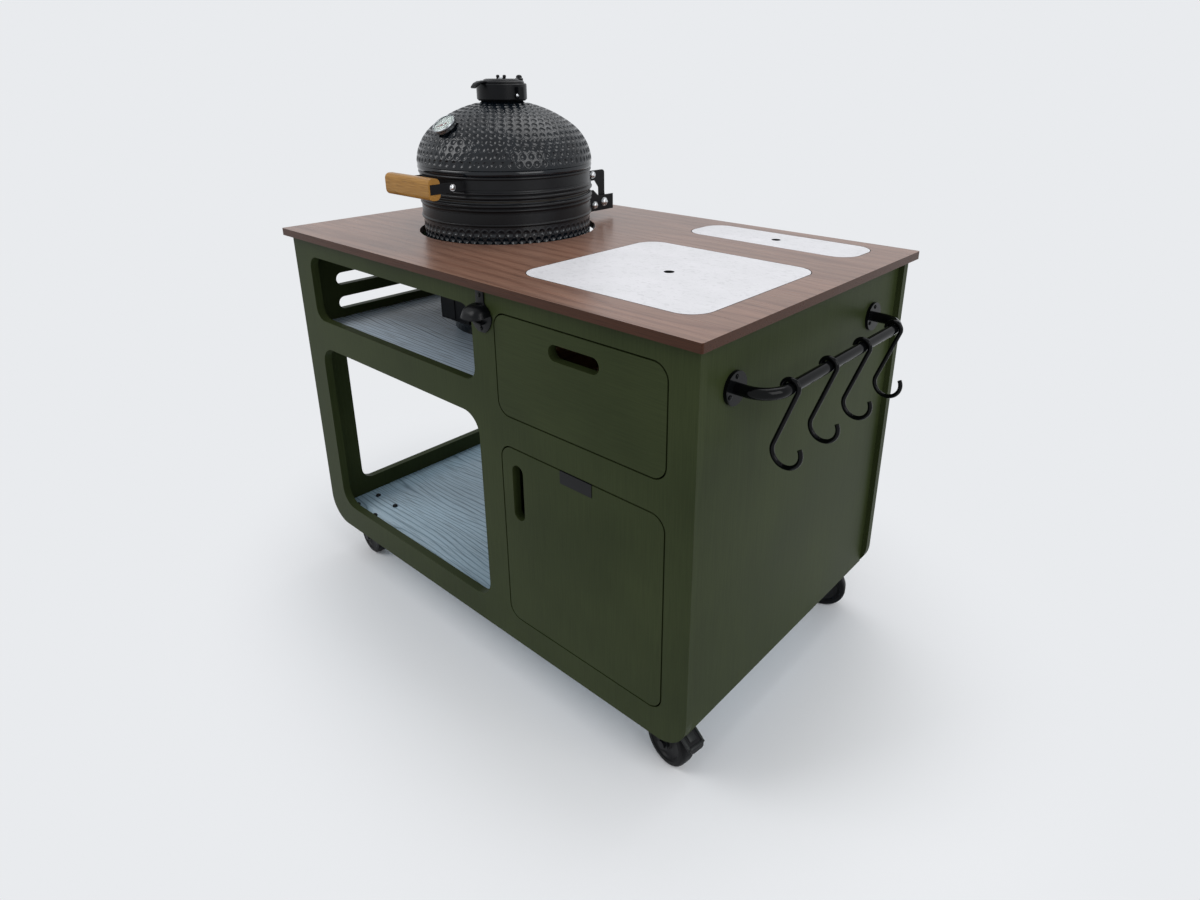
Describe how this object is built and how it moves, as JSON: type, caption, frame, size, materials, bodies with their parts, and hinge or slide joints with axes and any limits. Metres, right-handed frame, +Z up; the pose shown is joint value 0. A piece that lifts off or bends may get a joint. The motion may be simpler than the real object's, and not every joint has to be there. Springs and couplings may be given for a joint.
{
  "type": "kamado grill table",
  "caption": "A wooden grill table on castors with a ceramic kamado set into its worktop, a drawer, a cupboard door, flush worktop lids, a towel rail with hooks and a bottle opener.",
  "frame": {"origin": "On the floor, under the middle of the bounding box of everything that the table reaches, towel hooks and bottle opener included.", "axes": "+X runs to the table's right along its length, where the towel rail is, +Y runs to the back, so the drawer, the door and the opener face -Y, and +Z is up."},
  "size_m": [1.273, 0.774, 1.2136],
  "materials": {
    "cabinet_board": "satin olive-green lacquer",
    "worktop_wood": "oiled walnut, satin",
    "shelf_wood": "stained wood, satin",
    "drawer_wood": "birch plywood, satin",
    "lid_plate": "pale grey laminate, satin",
    "glazed_ceramic": "glossy black glaze",
    "fireclay": "raw fireclay, matt",
    "black_steel": "black powder coat, satin",
    "black_gloss_steel": "black enamel, gloss",
    "bright_steel": "zinc plated, bright",
    "black_iron": "black cast iron, satin",
    "bamboo": "lacquered bamboo, satin",
    "felt": "woven gasket felt, matt",
    "wheel_rubber": "solid rubber, matt",
    "dial_steel": "polished",
    "needle_red": "red paint"
  },
  "bodies": {
    "table": {"front_frame": "cabinet_board", "back_frame": "cabinet_board", "left_side_panel": "cabinet_board", "right_side_panel": "cabinet_board", "divider_panel": "cabinet_board", "middle_shelf": "shelf_wood", "drawer_deck": "shelf_wood", "bottom_shelf": "shelf_wood", "tabletop": "worktop_wood", "runner_outer_rails": "bright_steel", "runner_batten": "drawer_wood", "door_catch": "black_steel", "towel_rail": "black_gloss_steel", "bottle_opener": "black_iron", "wood_screws": "black_gloss_steel", "castor_plates": "black_steel", "castor_bolts": "black_steel", "kamado_base": "glazed_ceramic", "lower_band": "black_steel", "gasket": "felt", "hinge_bracket_lower": "black_steel", "hinge_hardware": "bright_steel", "firebox": "fireclay", "charcoal_grate": "black_iron", "cooking_grid": "bright_steel", "draft_frame": "black_steel"},
    "drawer": {"drawer_front": "cabinet_board", "drawer_box": "drawer_wood", "runner_inner_rails": "bright_steel"},
    "door": {"door_panel": "cabinet_board", "door_pins": "bright_steel", "door_clip": "black_steel"},
    "large_lid": {"large_lid": "lid_plate"},
    "small_lid": {"small_lid": "lid_plate"},
    "kamado_lid": {"dome_shell": "glazed_ceramic", "upper_band": "black_steel", "handle_straps": "black_steel", "handle_bar": "bamboo", "hinge_bracket_upper": "black_steel", "lid_bolts": "bright_steel", "thermometer": "dial_steel", "vent_collar": "black_iron"},
    "needle": {"thermometer_needle": "needle_red"},
    "vent_cap": {"vent_cap": "black_iron"},
    "daisy_wheel": {"daisy_wheel": "black_iron"},
    "draft_door": {"draft_door": "black_steel"},
    "hook_1": {"hook_1": "black_gloss_steel"},
    "hook_2": {"hook_2": "black_gloss_steel"},
    "hook_3": {"hook_3": "black_gloss_steel"},
    "hook_4": {"hook_4": "black_gloss_steel"},
    "fork_front_right": {"castor_fork_front_right": "black_steel"},
    "wheel_front_right": {"castor_wheel_front_right": "wheel_rubber"},
    "fork_front_left": {"castor_fork_front_left": "black_steel"},
    "wheel_front_left": {"castor_wheel_front_left": "wheel_rubber"},
    "fork_back_right": {"castor_fork_back_right": "black_steel"},
    "wheel_back_right": {"castor_wheel_back_right": "wheel_rubber"},
    "fork_back_left": {"castor_fork_back_left": "black_steel"},
    "wheel_back_left": {"castor_wheel_back_left": "wheel_rubber"},
    "brake_front_right": {"brake_pedal_front_right": "black_steel"},
    "brake_front_left": {"brake_pedal_front_left": "black_steel"}
  },
  "joints": [
    {"name": "drawer_slide", "type": "slide", "parent": "table", "child": "drawer", "axis": [0, -1, 0], "range_m": [0, 0.3]},
    {"name": "door_hinge", "type": "hinge", "parent": "table", "child": "door", "pos_m": [0.4615, -0.343, 0.368], "axis": [0, 0, 1], "range_deg": [0, 105]},
    {"name": "large_lid_lift", "type": "slide", "parent": "table", "child": "large_lid", "axis": [0, 0, 1], "range_m": [0, 0.05]},
    {"name": "small_lid_lift", "type": "slide", "parent": "table", "child": "small_lid", "axis": [0, 0, 1], "range_m": [0, 0.05]},
    {"name": "kamado_lid_hinge", "type": "hinge", "parent": "table", "child": "kamado_lid", "pos_m": [-0.2615, 0.246, 0.916], "axis": [-1, 0, 0], "range_deg": [0, 65]},
    {"name": "vent_swing", "type": "hinge", "parent": "kamado_lid", "child": "vent_cap", "pos_m": [-0.2615, 0.048, 1.196], "axis": [0, 0, 1], "range_deg": [0, 90]},
    {"name": "daisy_turn", "type": "hinge", "parent": "vent_cap", "child": "daisy_wheel", "pos_m": [-0.2615, -0.004, 1.2], "axis": [0, 0, 1], "range_deg": [0, 30]},
    {"name": "needle_turn", "type": "hinge", "parent": "kamado_lid", "child": "needle", "pos_m": [-0.2615, -0.15828, 1.10929], "axis": [0, 0.6026, -0.798], "range_deg": [0, 250]},
    {"name": "draft_slide", "type": "slide", "parent": "table", "child": "draft_door", "axis": [-1, 0, 0], "range_m": [0, 0.037]},
    {"name": "hook_1_swing", "type": "hinge", "parent": "table", "child": "hook_1", "pos_m": [0.6045, -0.189, 0.769], "axis": [0, -1, 0], "range_deg": [-18, 40]},
    {"name": "hook_2_swing", "type": "hinge", "parent": "table", "child": "hook_2", "pos_m": [0.6045, -0.064, 0.769], "axis": [0, -1, 0], "range_deg": [-18, 40]},
    {"name": "hook_3_swing", "type": "hinge", "parent": "table", "child": "hook_3", "pos_m": [0.6045, 0.061, 0.769], "axis": [0, -1, 0], "range_deg": [-18, 40]},
    {"name": "hook_4_swing", "type": "hinge", "parent": "table", "child": "hook_4", "pos_m": [0.6045, 0.194, 0.769], "axis": [0, -1, 0], "range_deg": [-18, 40]},
    {"name": "swivel_front_right", "type": "hinge", "parent": "table", "child": "fork_front_right", "pos_m": [0.4435, -0.289, 0.121], "axis": [0, 0, 1], "continuous": true},
    {"name": "roll_front_right", "type": "hinge", "parent": "fork_front_right", "child": "wheel_front_right", "pos_m": [0.47321, -0.29318, 0.05], "axis": [0.1392, 0.9903, 0], "continuous": true},
    {"name": "brake_front_right", "type": "hinge", "parent": "fork_front_right", "child": "brake_front_right", "pos_m": [0.46331, -0.29178, 0.106], "axis": [0.1392, 0.9903, 0], "range_deg": [0, 6]},
    {"name": "swivel_front_left", "type": "hinge", "parent": "table", "child": "fork_front_left", "pos_m": [-0.5165, -0.289, 0.121], "axis": [0, 0, 1], "continuous": true},
    {"name": "roll_front_left", "type": "hinge", "parent": "fork_front_left", "child": "wheel_front_left", "pos_m": [-0.54643, -0.28691, 0.05], "axis": [-0.0698, -0.9976, 0], "continuous": true},
    {"name": "brake_front_left", "type": "hinge", "parent": "fork_front_left", "child": "brake_front_left", "pos_m": [-0.53645, -0.2876, 0.106], "axis": [-0.0698, -0.9976, 0], "range_deg": [0, 6]},
    {"name": "swivel_back_right", "type": "hinge", "parent": "table", "child": "fork_back_right", "pos_m": [0.4435, 0.307, 0.121], "axis": [0, 0, 1], "continuous": true},
    {"name": "roll_back_right", "type": "hinge", "parent": "fork_back_right", "child": "wheel_back_right", "pos_m": [0.47132, 0.31824, 0.05], "axis": [-0.3746, 0.9272, 0], "continuous": true},
    {"name": "swivel_back_left", "type": "hinge", "parent": "table", "child": "fork_back_left", "pos_m": [-0.5165, 0.307, 0.121], "axis": [0, 0, 1], "continuous": true},
    {"name": "roll_back_left", "type": "hinge", "parent": "fork_back_left", "child": "wheel_back_left", "pos_m": [-0.54432, 0.31824, 0.05], "axis": [-0.3746, -0.9272, 0], "continuous": true}
  ]
}
